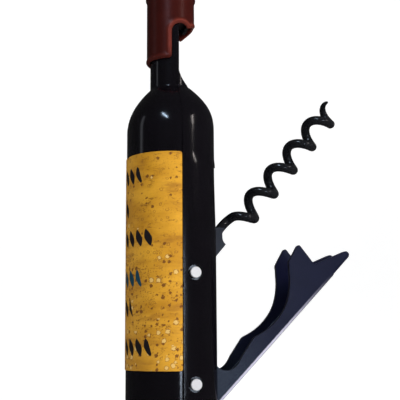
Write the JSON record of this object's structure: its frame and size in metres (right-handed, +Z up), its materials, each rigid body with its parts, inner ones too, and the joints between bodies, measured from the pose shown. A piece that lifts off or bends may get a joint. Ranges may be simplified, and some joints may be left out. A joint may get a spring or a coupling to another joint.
{
  "type": "waiters corkscrew",
  "caption": "Bottle-shaped waiter's corkscrew with a crown-cap lifter in its capsule and a lever and worm that fold into a slot.",
  "frame": {"origin": "centre of the bottle's flat base", "axes": "+Z up the bottle, +X towards the slot side where the lever and worm open, +Y along the pivot pins"},
  "size_m": [0.063, 0.025, 0.12],
  "materials": {
    "shell_black": "gloss black moulded plastic",
    "capsule_red": "gloss dark red plastic",
    "cork_print": "satin printed label with a cork pattern",
    "painted_steel": "satin dark navy paint on pressed steel",
    "coated_wire": "gloss black coating on steel wire",
    "rivet_metal": "fine matte aluminium",
    "blackened_steel": "blackened strip steel",
    "bright_steel": "bright rolled steel",
    "nylon": "natural nylon"
  },
  "bodies": {
    "bottle": {"front_shell": "shell_black", "rear_shell": "shell_black", "capsule": "capsule_red", "cap_lifter_insert": "blackened_steel", "label": "cork_print", "worm_detent_spring": "bright_steel", "shell_screw_1": "bright_steel", "shell_screw_2": "bright_steel", "lever_pivot_female": "rivet_metal", "lever_pivot_male": "rivet_metal", "worm_pivot_female": "rivet_metal", "worm_pivot_male": "rivet_metal", "lever_washer_left": "nylon", "lever_washer_right": "nylon", "worm_spacer_left": "nylon", "worm_spacer_right": "nylon"},
    "lever_arm": {"lever": "painted_steel"},
    "worm_arm": {"worm_hub": "painted_steel", "worm": "coated_wire"}
  },
  "joints": [
    {"name": "lever_fold", "type": "hinge", "parent": "bottle", "child": "lever_arm", "pos_m": [0.0041, 0, 0.0085], "axis": [0, -1, 0], "range_deg": [-60, 44.3]},
    {"name": "worm_fold", "type": "hinge", "parent": "bottle", "child": "worm_arm", "pos_m": [0.0041, 0, 0.0373], "axis": [0, -1, 0], "range_deg": [-53.7, 39.67]}
  ],
  "couplings": [
    {"joint": "worm_fold", "follows": "lever_fold", "ratio": 0.8955}
  ]
}
